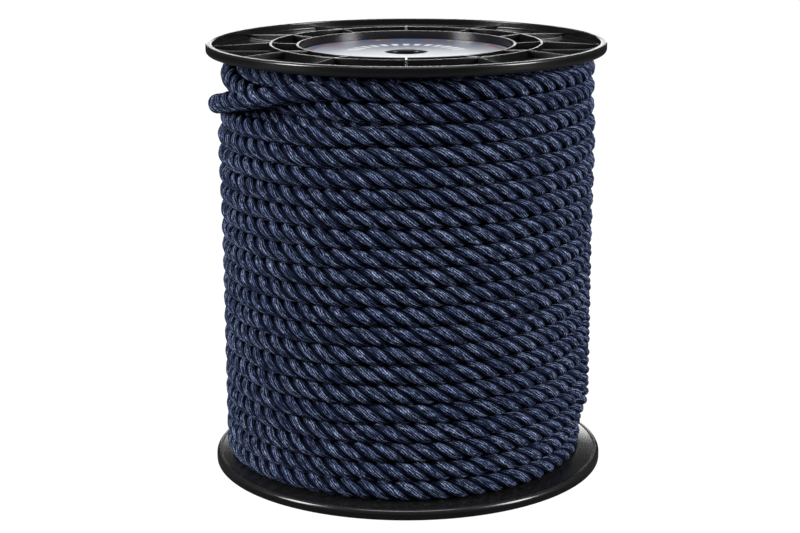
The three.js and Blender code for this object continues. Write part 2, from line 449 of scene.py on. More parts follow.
# %% [markdown]
# ## Three strands as one surface
#
# Laid rope is three round strands twisted together to the right. Three separate tubes would spend
# most of their faces inside the rope. Here the rope's section is the outline of three touching
# circles, and each section along the route is turned a little further than the one before, so the
# grid's long edges follow the strands and the grooves stay crisp. The section hangs on the
# direction that points away from the reel's axis, which never spins, so neighbouring pieces match.

# %% The strand section and the twist
STRAND_RADIUS = 0.00350
STRAND_OFFSET = 0.00270
LAY_LENGTH = 0.0340
WANDER_SEED = 7
WANDER_SWING = 0.45
WANDER_LENGTHS = (0.62, 0.91, 1.37, 2.3)
wander_random = np.random.default_rng(WANDER_SEED)
WANDER = [(length, wander_random.uniform(0, 2 * np.pi)) for length in WANDER_LENGTHS]


def strand_outline(steps):
    """Section of the rope as (angle, radius), with steps points for each of the three strands. A
    strand's circle is followed between the two grooves where it meets its neighbours."""
    bisector = math.cos(math.pi / 3)
    reach = STRAND_OFFSET * bisector + math.sqrt(
        STRAND_RADIUS**2 - STRAND_OFFSET**2 * (1 - bisector**2)
    )
    groove = np.array([reach * bisector - STRAND_OFFSET, reach * math.sin(math.pi / 3)])
    limit = math.atan2(groove[1], groove[0])
    around = -limit + 2 * limit * np.arange(steps) / steps
    x = STRAND_OFFSET + STRAND_RADIUS * np.cos(around)
    y = STRAND_RADIUS * np.sin(around)
    angle = np.arctan2(y, x) + np.arange(3)[:, None] * 2 * np.pi / 3
    return angle.ravel(), np.tile(np.hypot(x, y), 3)


def twist_at(distance):
    """Angle of the strands at each distance along the rope: one turn per lay length, and a slow
    wander, a sum of four swings, because no rope is laid or wound quite evenly."""
    twist = 2 * np.pi * distance / LAY_LENGTH
    for length, start in WANDER:
        twist = twist + WANDER_SWING * np.sin(2 * np.pi * distance / length + start)
    return twist


print(f"the strands' section reaches {(STRAND_OFFSET + STRAND_RADIUS) * 1000:.2f} mm from the centre")

# %% The tube along the route


def rope_frames(line):
    """For each point of a line round the Z axis: the direction away from the axis, made square to
    the line, and the direction square to both."""
    along = np.gradient(line, axis=0)
    along /= np.linalg.norm(along, axis=1, keepdims=True)
    away = line * (1, 1, 0)
    away = away - along * (away * along).sum(axis=1, keepdims=True)
    away /= np.linalg.norm(away, axis=1, keepdims=True)
    return away, np.cross(along, away)


def swept(line, frames, angle, radius):
    """Points (ring, column, 3) of a section carried along a line, from the angle and radius of its
    points. Angle 0 is the direction away from the reel's axis."""
    away, across = frames
    return (
        line[:, None]
        + (radius * np.cos(angle))[..., None] * away[:, None]
        + (radius * np.sin(angle))[..., None] * across[:, None]
    )


def strand_map(piece, rings, columns, distance, steps):
    """The strand map. Across it counts strands, 0 to 3 round the rope, and along it is the distance
    in metres. It sits on face corners, so it has no seam round the rope."""
    row, column = np.meshgrid(np.arange(rings - 1), np.arange(columns), indexing="ij")
    across = np.stack([column, column + 1, column + 1, column], axis=-1) / steps
    along = np.stack([distance[row], distance[row], distance[row + 1], distance[row + 1]], axis=-1)
    side = np.stack([across, along], axis=-1).reshape(-1, 2)
    caps = np.zeros((2 * columns, 2))
    layer = piece.data.uv_layers.new(name="strands")
    layer.data.foreach_set("uv", np.concatenate([side, caps]).astype(np.float32).ravel())


def laid_rope(name, line, frames, distance, steps):
    """A closed length of three-strand rope along a line, with its strand map."""
    angle, radius = strand_outline(steps)
    turned = angle[None, :] + twist_at(distance)[:, None]
    points = swept(line, frames, turned, radius)
    rings, columns = turned.shape
    first, last = np.arange(columns), np.arange(columns) + (rings - 1) * columns
    side = grid_faces(rings, columns, wrap_columns=True)
    faces = [side, np.stack([first[::-1], last])]
    piece = new_piece(name, points.reshape(-1, 3), faces, (first, last))
    strand_map(piece, rings, columns, distance, steps)
    return piece


print(f"one turn of the strands every {LAY_LENGTH * 1000:.0f} mm")

# %% [markdown]
# Each stretch is laid as a rope of its real length. The outer layer is cut into pieces of about two
# turns and the last stretch into pieces of about one, which share their end sections exactly, so no
# seam shows.

# %% Lay the rope
FINE_SECTION = 12
COARSE_SECTION = 6
OUTER_PIECES = 9
LAST_PIECES = 3
whole_length = 0.0
rope_pieces = []


def wind(name, line, start, section_steps, pieces, node, ends=("object", "object")):
    """Lays one stretch as several matching pieces, and keeps each one's path, length and end in a
    list. Gives the distance along the whole rope at which the stretch ends."""
    frames = rope_frames(line)
    distance = start + length_along(line)
    cuts = np.linspace(0, len(line) - 1, pieces + 1).astype(int)
    for number, (a, b) in enumerate(zip(cuts[:-1], cuts[1:], strict=True), start=1):
        part = slice(a, b + 1)
        title = f"{name}_{number}" if pieces > 1 else name
        part_frames = (frames[0][part], frames[1][part])
        piece = laid_rope(title, line[part], part_frames, distance[part], section_steps)
        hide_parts(node)
        rope_pieces.append({
            "piece": piece,
            "path": line[part],
            "length": distance[b] - distance[a],
            "far_end": ends[number == pieces],
        })
    return distance[-1]


for name, line, node in (
    ("rope_first_layer", first_layer, "rope_layer_1"),
    ("rope_second_layer", second_layer, "rope_layer_2"),
    ("rope_third_layer", third_layer, "rope_layer_3"),
):
    whole_length = wind(name, line, whole_length, COARSE_SECTION, 1, node)
whole_length = wind(
    "rope_outer_layer", outer_route, whole_length, FINE_SECTION, OUTER_PIECES, "rope_layer_4"
)
whole_length = wind(
    "rope_last_turns_laid", last_route, whole_length, FINE_SECTION, LAST_PIECES,
    "rope_last_turns", ("object", "bare"),
)
print(f"rope: {len(rope_pieces)} pieces, {whole_length:.2f} m in all")

# %% [markdown]
# ## The taped end
#
# A cut end of laid rope opens up unless it is bound. Here it is wound with black tape, which
# follows the strands softly and shows the edge of each wrap.

# %% The tape
TAPE_RADIUS = 0.0062
TAPE_INNER_RADIUS = 0.0052
TAPE_WRAP = 0.009
WRAP_STEP = 0.00018
STRAND_RELIEF = 0.00025
EDGE_EASE, EDGE_LENGTH = 0.0002, 0.0006
TAPE_SHORT_OF_END = 0.6
TAPE_RINGS, TAPE_SIDES = 40, 48


def tape_sleeve():
    """A closed sleeve round the rope's end: an outer wall whose radius follows the three strands
    with a little of their relief and steps up at each wrap's edge, and a plain inner wall."""
    angle = np.linspace(TAPE_FROM, ROPE_END - TAPE_SHORT_OF_END, TAPE_RINGS)
    line = on_reel(angle, *last_turns(angle))
    distance = length_along(line)
    frames = rope_frames(line)
    around = np.linspace(0, 2 * np.pi, TAPE_SIDES, endpoint=False)[None, :]
    end_twist = twist_at(whole_length - distance[-1] + distance)[:, None]
    lobes = STRAND_RELIEF * np.cos(3 * (around - end_twist))
    wrap = WRAP_STEP * (((distance[:, None] / TAPE_WRAP + around / (2 * np.pi)) % 1) > 0.5)
    from_end = np.minimum(distance, distance[-1] - distance)
    edge = EDGE_EASE * (1 - rise(from_end, 0, EDGE_LENGTH))[:, None]
    outer = TAPE_RADIUS + lobes + wrap - edge
    inner = np.full_like(outer, TAPE_INNER_RADIUS)
    outer_wall = swept(line, frames, around, outer)
    inner_wall = swept(line, frames, around, inner)
    grid = np.concatenate([outer_wall, inner_wall[::-1]])
    faces = [grid_faces(*grid.shape[:2], wrap_rows=True, wrap_columns=True)]
    return new_piece("end_tape_wrap", *closed_shell(grid, faces))


tape = tape_sleeve()
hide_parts("rope_end_tape")
print(f"tape: {len(tape.data.polygons)} faces")

# %% [markdown]
# ## The mouldings
#
# A flange is a profile turned about the reel's axis, with twelve ribs standing on its web. Moulded
# plastic has no sharp corner anywhere, and the thin bright lines along its edges come from those
# small rounds, so every corner of the profile gets an arc. Each arc has a support point beside it,
# which keeps the flat faces flat in smooth shading.

# %% Rounded profiles
SUPPORT = 0.00012


def rounded(corners, steps=6):
    """A closed profile from (radius, height, rounding) corners, in metres. Each corner becomes an
    arc that touches both of its sides, with a support point beyond each end. The second array is 1
    on arcs that bulge out of the solid and 0 elsewhere. The profile runs clockwise."""
    corners = np.array(corners, float)
    points, bulge = [], []
    for before, corner, after in zip(
        np.roll(corners, 1, axis=0), corners, np.roll(corners, -1, axis=0), strict=True
    ):
        back = before[:2] - corner[:2]
        ahead = after[:2] - corner[:2]
        back_length, ahead_length = np.linalg.norm(back), np.linalg.norm(ahead)
        back, ahead = back / back_length, ahead / ahead_length
        half = math.acos(np.clip(back @ ahead, -1, 1)) / 2
        reach = corner[2] / math.tan(half)
        centre = corner[:2] + (back + ahead) / np.linalg.norm(back + ahead) * corner[2] / math.sin(half)
        start, end = corner[:2] + back * reach, corner[:2] + ahead * reach
        from_angle = math.atan2(*(start - centre)[::-1])
        sweep = (math.atan2(*(end - centre)[::-1]) - from_angle + math.pi) % (2 * math.pi) - math.pi
        angles = from_angle + sweep * np.linspace(0, 1, steps + 1)
        arc = centre + corner[2] * np.stack([np.cos(angles), np.sin(angles)], axis=1)
        points += [start + back * SUPPORT, *arc, end + ahead * SUPPORT]
        outward = 1.0 if sweep < 0 else 0.0
        bulge += [0.0, *([outward] * len(arc)), 0.0]
    return np.array(points), np.array(bulge)


def turned_grid(profile, segments):
    """The profile turned about the Z axis: point (i, j) is profile point i at angle j."""
    angle = np.linspace(0, 2 * np.pi, segments, endpoint=False)[None, :]
    radius, height = profile[:, :1], profile[:, 1:]
    return np.stack(
        [radius * np.cos(angle), radius * np.sin(angle), np.broadcast_to(height, (len(profile), segments))],
        axis=-1,
    )


def keep_rub_and_highlight(piece, values):
    """Stores how far each point lies on a bulging arc, for the finish to read. The finish paints these
    rounds paler, partly as rubbed wear and partly as a painted highlight.
    """
    layer = piece.data.attributes.new("edge_rub_and_highlight", "FLOAT", "POINT")
    layer.data.foreach_set("value", values.astype(np.float32))


square, square_bulge = rounded([(1, 0, 0.1), (1, 1, 0.1), (2, 1, 0.1), (2, 0, 0.1)])
print(f"a rounded square has {len(square)} points, {int(square_bulge.sum())} of them on its arcs")

# %% [markdown]
# The flange's profile is drawn with its outer face up and its rim's edge at height 0, as on a
# drawing, and lifted or turned over at the end. The ribs are plates with rounded tops and a small
# fillet along their feet. All twelve come from one array, turned in steps of 30 degrees.

# %% The flange's profile
FLANGE_SEGMENTS = 288
RIB_COUNT = 12
WEB_TOP = -0.0064
WEB_UNDER = -0.0086
DISH_START = 0.1120
DISH_RISE = 0.0018
RIM_WALL = 0.0038
RIM_INNER = FLANGE_RADIUS - RIM_WALL
RIM_UNDER = -0.0064
HUB_RADIUS = 0.0687
RING_RADIUS = 0.0854
WALL = 0.0015
HUB_DROP = 0.0020
RING_DROP = 0.0012
CUP_FLOOR = -0.0080
CUP_FLOOR_UNDER = -0.0102
BORE_RADIUS = 0.0125
BOSS_RADIUS = 0.0160
BOSS_UNDER = -0.0300
FLANGE_PROFILE = [
    (BORE_RADIUS, BOSS_UNDER, 0.0004),
    (BORE_RADIUS, CUP_FLOOR, 0.0006),
    (HUB_RADIUS - WALL, CUP_FLOOR, 0.0005),
    (HUB_RADIUS - WALL, -HUB_DROP, 0.00035),
    (HUB_RADIUS, -HUB_DROP, 0.00035),
    (HUB_RADIUS, WEB_TOP, 0.0006),
    (RING_RADIUS - WALL, WEB_TOP, 0.0006),
    (RING_RADIUS - WALL, -RING_DROP, 0.00035),
    (RING_RADIUS, -RING_DROP, 0.00035),
    (RING_RADIUS, WEB_TOP, 0.0006),
    (DISH_START, WEB_TOP, 0.004),
    (RIM_INNER, WEB_TOP + DISH_RISE, 0.0009),
    (RIM_INNER, 0.0, 0.0007),
    (FLANGE_RADIUS, 0.0, 0.0012),
    (FLANGE_RADIUS, RIM_UNDER, 0.0024),
    (RIM_INNER, RIM_UNDER, 0.0010),
    (DISH_START, WEB_UNDER, 0.004),
    (HUB_RADIUS, WEB_UNDER, 0.0004),
    (HUB_RADIUS, CUP_FLOOR_UNDER, 0.0003),
    (BOSS_RADIUS, CUP_FLOOR_UNDER, 0.0006),
    (BOSS_RADIUS, BOSS_UNDER, 0.0004),
]
print(f"the flange's profile has {len(FLANGE_PROFILE)} corners")

# %% The ribs
RIB_STATIONS = 26
RIB_FILLET = 0.0006
RIB_CROWN = 0.00035
RIB_SINK = 5e-5
RIB_DROP_AT_RIM = 0.0033
FOOT_SPREAD, FOOT_DEPTH = 0.0002, 0.0009


def rib_shells():
    """Points (rib, row, column, 3) of all ribs and how far each column is a rounded top. A row is
    a place along the radius. A column goes round the plate's section: up one side from its sunk
    foot through a fillet, over the rounded top, and down the other side."""
    start, end = HUB_RADIUS - WALL / 2, FLANGE_RADIUS - RIM_WALL / 2
    ring = RING_RADIUS - WALL / 2
    radius = np.sort(np.append(np.linspace(start, end, RIB_STATIONS), [ring, DISH_START]))
    web = WEB_TOP + DISH_RISE * np.clip((radius - DISH_START) / (RIM_INNER - DISH_START), 0, 1)
    heights = [-HUB_DROP - RIB_SINK, -RING_DROP - RIB_SINK, -RIB_DROP_AT_RIM]
    top = np.interp(radius, [start, ring, end], heights)
    half = WALL / 2
    turn = np.radians(np.linspace(-90, -180, 5))
    foot = np.stack([half + RIB_FILLET * (1 + np.cos(turn)), RIB_FILLET * (1 + np.sin(turn))], axis=1)
    turn = np.radians(np.linspace(0, 90, 6))
    crown = np.stack([half - RIB_CROWN * (1 - np.cos(turn)), RIB_CROWN * (np.sin(turn) - 1)], axis=1)
    side = np.concatenate([
        [(half + RIB_FILLET + FOOT_SPREAD, -FOOT_DEPTH)],
        foot,
        [(half, RIB_FILLET + SUPPORT), (half, -RIB_CROWN - SUPPORT)],
        crown,
    ])
    is_top = np.arange(len(side)) > len(foot) + 1
    across = np.concatenate([side[:, 0], -side[::-1, 0]])
    lift = np.concatenate([side[:, 1], side[::-1, 1]])
    is_top = np.concatenate([is_top, is_top[::-1]])
    height = np.where(is_top, top[:, None] + lift, web[:, None] + lift)
    angle = np.arange(RIB_COUNT)[:, None, None] * 2 * np.pi / RIB_COUNT
    x = radius[:, None] * np.cos(angle) - across * np.sin(angle)
    y = radius[:, None] * np.sin(angle) + across * np.cos(angle)
    return np.stack([x, y, np.broadcast_to(height, x.shape)], axis=-1), is_top


print(f"{RIB_COUNT} ribs, {WALL * 1000:.1f} mm thick")

# %% The two flanges


def flange_moulding(name, turned_over):
    """One flange as a closed turned shell with twelve closed rib shells sunk in its web."""
    profile, bulge = rounded(FLANGE_PROFILE)
    body = turned_grid(profile, FLANGE_SEGMENTS)
    shells = [closed_shell(body, [grid_faces(*body.shape[:2], wrap_rows=True, wrap_columns=True)])]
    rub_and_highlight = [np.repeat(bulge, FLANGE_SEGMENTS)]
    ribs, is_top = rib_shells()
    rows, columns = ribs.shape[1:3]
    ends = np.stack([np.arange(columns)[::-1], np.arange(columns) + (rows - 1) * columns])
    for rib in ribs:
        shells.append(closed_shell(rib, [grid_faces(rows, columns, wrap_columns=True), ends]))
        rub_and_highlight.append(np.tile(is_top.astype(float), rows))
    points, faces, count = [], [], 0
    for shell_points, shell_faces in shells:
        points.append(shell_points)
        faces += [group + count for group in shell_faces]
        count += len(shell_points)
    points = np.concatenate(points)
    points = points * (1, -1, -1) if turned_over else points + (0, 0, REEL_HEIGHT)
    piece = new_piece(name, points, faces)
    keep_rub_and_highlight(piece, np.concatenate(rub_and_highlight))
    return piece


upper_flange = flange_moulding("upper_flange_moulding", turned_over=False)
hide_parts("upper_flange")
lower_flange = flange_moulding("lower_flange_moulding", turned_over=True)
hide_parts("lower_flange")
print(f"flanges: {len(upper_flange.data.polygons)} faces each")

# %% [markdown]
# The barrel is a plain tube, and the label a thin disc with eased edges. Both are turned too.

# %% The barrel and the label
BARREL_INNER_RADIUS = 0.0690
BARREL_EASE, LABEL_EASE = 0.0003, 0.0001
TUBE_SEGMENTS = 192


def turned_piece(name, corners, segments, node):
    """A closed turned piece in the row frame that stands for one node of the frame."""
    profile, bulge = rounded(corners)
    grid = turned_grid(profile, segments)
    piece = new_piece(name, *closed_shell(grid, [grid_faces(*grid.shape[:2], True, True)]))
    keep_rub_and_highlight(piece, np.repeat(bulge, segments))
    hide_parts(node)
    return piece


def ring_corners(inner, outer, bottom, top, rounding):
    """The four corners of a ring's section, clockwise from its lower inner one."""
    return [(r, z, rounding) for r, z in ((inner, bottom), (inner, top), (outer, top), (outer, bottom))]


barrel_low, barrel_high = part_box("core_barrel")
barrel = turned_piece(
    "barrel_tube",
    ring_corners(BARREL_INNER_RADIUS, barrel_high.x, barrel_low.z, barrel_high.z, BARREL_EASE),
    TUBE_SEGMENTS,
    "core_barrel",
)
label_low, label_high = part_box("label_disc")
LABEL_HOLE = 0.0136
label = turned_piece(
    "label_print_disc",
    ring_corners(LABEL_HOLE, label_high.x, label_low.z, label_high.z, LABEL_EASE),
    TUBE_SEGMENTS,
    "label_disc",
)
print(f"label radius {label_high.x * 1000:.1f} mm at height {label_high.z * 1000:.1f} mm")

# %% [markdown]
# ## Finishes
#
# The finishes are built from nodes. A small helper adds a node and fills its inputs, each from a
# number, a colour or another node's output. Effects that more than one finish uses are node groups
# that put out masks and heights; the shader itself stays in each finish.

# %% Node helpers


def add(tree, kind, inputs=None, **settings):
    """Adds a node, sets its properties, and fills its inputs by name or number."""
    node = tree.nodes.new(kind)
    for key, value in settings.items():
        setattr(node, key, value)
    for key, value in (inputs or {}).items():
        if isinstance(value, bpy.types.NodeSocket):
            tree.links.new(value, node.inputs[key])
        else:
            node.inputs[key].default_value = value
    return node


def math_node(tree, operation, *values, clamp=False):
    """The result of a Math node."""
    node = add(tree, "ShaderNodeMath", dict(enumerate(values)), operation=operation, use_clamp=clamp)
    return node.outputs[0]


def mapped(tree, value, low, high, to_low=0.0, to_high=1.0, kind="SMOOTHSTEP"):
    """The result of a Map Range node."""
    inputs = {0: value, 1: low, 2: high, 3: to_low, 4: to_high}
    return add(tree, "ShaderNodeMapRange", inputs, interpolation_type=kind).outputs[0]


def mixed(tree, factor, first, second):
    """The result of a colour Mix node."""
    node = add(tree, "ShaderNodeMix", data_type="RGBA")
    for socket, value in ((node.inputs[0], factor), (node.inputs[6], first), (node.inputs[7], second)):
        if isinstance(value, bpy.types.NodeSocket):
            tree.links.new(value, socket)
        else:
            socket.default_value = value
    return node.outputs[2]


print("helpers for nodes: add, math_node, mapped and mixed")

# %% Helpers for groups and finishes


def new_group(name, inputs, outputs):
    """An empty node group with float inputs, given with their defaults, and float outputs."""
    tree = bpy.data.node_groups.new(name, "ShaderNodeTree")
    for title, value in inputs.items():
        socket = tree.interface.new_socket(title, in_out="INPUT", socket_type="NodeSocketFloat")
        socket.default_value = value
    for title in outputs:
        tree.interface.new_socket(title, in_out="OUTPUT", socket_type="NodeSocketFloat")
    return tree, tree.nodes.new("NodeGroupInput").outputs, tree.nodes.new("NodeGroupOutput").inputs


def use_group(tree, group, inputs=None):
    """Places a group in a finish and gives its outputs."""
    node = tree.nodes.new("ShaderNodeGroup")
    node.node_tree = group
    for key, value in (inputs or {}).items():
        node.inputs[key].default_value = value
    return node.outputs


def new_finish(name):
    """A material with its Principled shader and its tree."""
    finish = bpy.data.materials.new(name)
    finish.use_nodes = True
    return finish, finish.node_tree, finish.node_tree.nodes["Principled BSDF"]


def set_sockets(shader, **values):
    """Sets plain values on the shader's own sockets. An underscore stands for a space."""
    for key, value in values.items():
        shader.inputs[key.replace("_", " ")].default_value = value


print("helpers for finishes: new_group, use_group, new_finish and set_sockets")

# %% [markdown]
# ### Yarns
#
# Each strand is a bundle of yarns, and each yarn is itself twisted, so light catches it as a row of
# short dashes. The group reads the strand map. Across the strand it cuts the surface into yarns,
# which drift sideways as they run, and along each yarn it repeats a dash. A random value per yarn
# and a slow noise keep any two yarns from looking alike.

# %% The yarn group


def flat_noise(tree, across, along, scale=1.0, detail=1.0):
    """The result of a noise over the plane of two values."""
    place = add(tree, "ShaderNodeCombineXYZ", {0: across, 1: along}).outputs[0]
    inputs = {"Vector": place, "Scale": scale, "Detail": detail}
    return add(tree, "ShaderNodeTexNoise", inputs, noise_dimensions="2D").outputs[0]


def from_middle(tree, value):
    """How far a value is from the middle between two whole numbers: 0 there and 1 at them."""
    doubled = math_node(tree, "MULTIPLY", math_node(tree, "FRACT", value), 2.0)
    return math_node(tree, "ABSOLUTE", math_node(tree, "SUBTRACT", doubled, 1.0))


def yarn_group():
    """Outputs: the crest's brightness, which the finish paints as a sheen on the yarns; Relief, the
    crest's height; a mask that is 1 between strands, where the finish paints shade; and Shade, how
    pale the crests are on this stretch of the strand."""
    tree, given, result = new_group(
        "yarns_of_a_strand",
        {"Yarns": 7.0, "Drift": 70.0, "Dash": 0.0014},
        ("Crest_Sheen", "Relief", "Groove_Shade", "Shade"),
    )
    place = add(tree, "ShaderNodeUVMap", uv_map="strands").outputs[0]
    split = add(tree, "ShaderNodeSeparateXYZ", {0: place}).outputs
    strand, along = split[0], split[1]
    sway_across = math_node(tree, "MULTIPLY", strand, 5.0)
    sway = flat_noise(tree, sway_across, math_node(tree, "MULTIPLY", along, 280.0))
    yarn = math_node(
        tree, "ADD",
        math_node(tree, "MULTIPLY_ADD", strand, given["Yarns"], math_node(tree, "MULTIPLY", sway, 1.3)),
        math_node(tree, "MULTIPLY", along, given["Drift"]),
    )
    number = math_node(tree, "FLOOR", yarn)
    ridge = math_node(tree, "SUBTRACT", 1.0, math_node(tree, "POWER", from_middle(tree, yarn), 1.6))
    crest = math_node(tree, "POWER", ridge, 5.0)
    chance = add(tree, "ShaderNodeTexWhiteNoise", {"W": number}, noise_dimensions="1D").outputs["Value"]
    cycles = math_node(tree, "ADD", math_node(tree, "DIVIDE", along, given["Dash"]), chance)
    wave = math_node(tree, "SINE", math_node(tree, "MULTIPLY", cycles, 2 * math.pi))
    dash = mapped(tree, wave, -0.9, 0.7)
    yarn_place = math_node(tree, "MULTIPLY", number, 1.7)
    slow = flat_noise(tree, yarn_place, math_node(tree, "MULTIPLY", along, 260.0))
    lively = mapped(tree, slow, 0.36, 0.60, 0.22, 1.0)
    # The crest mask, which the finish turns into a painted sheen.
    crest_sheen = math_node(tree, "MULTIPLY", crest, math_node(tree, "MULTIPLY", lively, mapped(
        tree, dash, 0.0, 1.0, 0.45, 1.0, "LINEAR"
    )))
    relief = math_node(tree, "MULTIPLY", ridge, mapped(tree, dash, 0.0, 1.0, 0.7, 1.0, "LINEAR"))
    strand_number = math_node(tree, "FLOOR", strand)
    shade = flat_noise(tree, strand_number, math_node(tree, "MULTIPLY", along, 40.0), 1.3, 2.0)
    # The groove mask only darkens the colour between strands in the finish: painted shade.
    for title, socket in (
        ("Crest_Sheen", crest_sheen),
        ("Relief", relief),
        ("Groove_Shade", mapped(tree, from_middle(tree, strand), 0.32, 0.90)),
        ("Shade", mapped(tree, shade, 0.35, 0.65)),
    ):
        tree.links.new(socket, result[title])
    return tree


YARNS = yarn_group()
print(f"the yarn group has {len(YARNS.nodes)} nodes")

# %% The rope's fibre


def rope_finish():
    """Navy filament yarn, near black between the yarns. Its crests are painted slate blue as a sheen,
    the grooves between strands are painted darkest as shade, and the shader itself has almost no shine."""
    finish, tree, shader = new_finish("navy_laid_fibre")
    yarns = use_group(tree, YARNS)
    # Painted highlight: the slate blue of the crests stands in for the yarns' sheen.
    crest = mixed(tree, yarns["Shade"], (0.225, 0.295, 0.520, 1), (0.370, 0.460, 0.720, 1))
    colour = mixed(tree, yarns["Crest_Sheen"], (0.0022, 0.0034, 0.0130, 1), crest)
    # Painted shade: the grooves between strands are darkened in the colour.
    colour = mixed(tree, yarns["Groove_Shade"], colour, (0.0013, 0.0022, 0.0080, 1))
    tree.links.new(colour, shader.inputs["Base Color"])
    tree.links.new(mapped(tree, yarns["Crest_Sheen"], 0.0, 1.0, 0.72, 0.46, "LINEAR"), shader.inputs["Roughness"])
    bump = add(tree, "ShaderNodeBump", {"Height": yarns["Relief"], "Strength": 0.6, "Distance": 0.0004})
    tree.links.new(bump.outputs[0], shader.inputs["Normal"])
    set_sockets(shader, Specular_IOR_Level=0.06, Specular_Tint=(0.45, 0.60, 1.0, 1))
    return finish


navy_fibre = rope_finish()
for stretch in rope_pieces:
    stretch["piece"].data.materials.append(navy_fibre)
print(f"{navy_fibre.name} is on {len(rope_pieces)} pieces of rope")

# %% [markdown]
# ### Moulded plastic
#
# The flanges are polished polystyrene that has been handled: fine scratches in all directions, a
# little dust on what faces up, and edges slightly paler along their rounds, partly rubbed and partly
# a painted highlight. The first two are groups, because the barrel, the label and the tape use them
# as well.

# %% Scratches and dust


def scratch_group():
    """Scratch: 1 on thin lines. Two noises are stretched along crossed directions, and only a
    narrow band of each one's values is kept, which leaves long thin lines in patches."""
    tree, given, result = new_group("handling_scratches", {"Amount": 0.5, "Fineness": 1.0}, ("Scratch",))
    place = add(tree, "ShaderNodeTexCoord").outputs["Object"]
    kept = []
    for turn_angle, stretch in ((0.5, (900, 25, 60)), (2.1, (700, 20, 45))):
        spun = add(tree, "ShaderNodeMapping", {"Vector": place, "Rotation": (0, 0, turn_angle)})
        long_way = add(tree, "ShaderNodeMapping", {"Vector": spun.outputs[0], "Scale": stretch})
        noise = add(tree, "ShaderNodeTexNoise", {
            "Vector": long_way.outputs[0], "Scale": given["Fineness"], "Detail": 2.0,
        }).outputs[0]
        distance = math_node(tree, "ABSOLUTE", math_node(tree, "SUBTRACT", noise, 0.5))
        kept.append(mapped(tree, distance, 0.012, 0.0))
    patch = add(tree, "ShaderNodeTexNoise", {"Vector": place, "Scale": 30.0, "Detail": 1.0}).outputs[0]
    lines = math_node(tree, "MAXIMUM", *kept)
    shown = math_node(tree, "MULTIPLY", lines, mapped(tree, patch, 0.45, 0.65))
    tree.links.new(math_node(tree, "MULTIPLY", shown, given["Amount"]), result["Scratch"])
    return tree


def dust_group():
    """Dust: specks of two sizes on faces that look up."""
    tree, given, result = new_group("settled_dust", {"Amount": 0.5}, ("Dust",))
    place = add(tree, "ShaderNodeTexCoord").outputs["Object"]
    specks = []
    for scale, low, high in ((900.0, 0.70, 0.80), (2600.0, 0.66, 0.76)):
        noise = add(tree, "ShaderNodeTexNoise", {"Vector": place, "Scale": scale, "Detail": 0.0}).outputs[0]
        specks.append(mapped(tree, noise, low, high))
    normal = add(tree, "ShaderNodeNewGeometry").outputs["Normal"]
    upward = add(tree, "ShaderNodeSeparateXYZ", {0: normal}).outputs[2]
    facing = mapped(tree, upward, 0.3, 0.9)
    dust = math_node(tree, "MULTIPLY", math_node(tree, "MAXIMUM", *specks), facing)
    tree.links.new(math_node(tree, "MULTIPLY", dust, given["Amount"]), result["Dust"])
    return tree


SCRATCHES = scratch_group()
SETTLED_DUST = dust_group()
print(f"shared groups: {SCRATCHES.name} and {SETTLED_DUST.name}")

# %% The black mouldings


def moulded_finish(name, colour, roughness, scratches, dust, peel):
    """Moulded plastic of one colour. Edges are paler, partly rubbed and partly a painted highlight
    along their rounds; scratches are paler and rougher, dust is grey and matt, and a faint uneven skin
    bends the highlights."""
    finish, tree, shader = new_finish(name)
    scratch = use_group(tree, SCRATCHES, {"Amount": scratches})["Scratch"]
    speck = use_group(tree, SETTLED_DUST, {"Amount": dust})["Dust"]
    rub_and_highlight = add(tree, "ShaderNodeAttribute", attribute_name="edge_rub_and_highlight").outputs["Fac"]
    place = add(tree, "ShaderNodeTexCoord").outputs["Object"]
    cloud = add(tree, "ShaderNodeTexNoise", {"Vector": place, "Scale": 22.0, "Detail": 3.0}).outputs[0]
    pale = tuple(c * 2 + 0.004 for c in colour[:3]) + (1,)
    body = mixed(tree, mapped(tree, cloud, 0.35, 0.7), colour, tuple(c * 0.8 for c in colour[:3]) + (1,))
    # Painted highlight and rubbed wear: the rounded edges are mixed half way to the paler colour.
    body = mixed(tree, math_node(tree, "MULTIPLY", rub_and_highlight, 0.5), body, pale)
    body = mixed(tree, math_node(tree, "MULTIPLY", scratch, 0.4), body, pale)
    body = mixed(tree, speck, body, (0.30, 0.30, 0.31, 1))
    tree.links.new(body, shader.inputs["Base Color"])
    worn = math_node(tree, "ADD", mapped(tree, cloud, 0.3, 0.7, roughness, roughness + 0.07, "LINEAR"),
                     math_node(tree, "MULTIPLY", scratch, 0.10))
    rough = math_node(tree, "ADD", worn, math_node(tree, "MULTIPLY", speck, 0.4), clamp=True)
    tree.links.new(rough, shader.inputs["Roughness"])
    skin = add(tree, "ShaderNodeTexNoise", {"Vector": place, "Scale": 55.0, "Detail": 1.0}).outputs[0]
    height = math_node(tree, "SUBTRACT", skin, math_node(tree, "MULTIPLY", scratch, 0.2))
    bump = add(tree, "ShaderNodeBump", {"Height": height, "Strength": peel, "Distance": 0.0003})
    tree.links.new(bump.outputs[0], shader.inputs["Normal"])
    return finish


gloss_black = moulded_finish("gloss_black_moulding", (0.0045, 0.0045, 0.0050, 1), 0.17, 0.22, 0.08, 0.015)
satin_black = moulded_finish("satin_black_tube", (0.020, 0.020, 0.021, 1), 0.42, 0.3, 0.2, 0.20)
tape_black = moulded_finish("black_end_tape", (0.020, 0.020, 0.022, 1), 0.38, 0.2, 0.2, 0.35)
for flange in (upper_flange, lower_flange):
    flange.data.materials.append(gloss_black)
barrel.data.materials.append(satin_black)
tape.data.materials.append(tape_black)
print(f"black finishes: {gloss_black.name}, {satin_black.name} and {tape_black.name}")

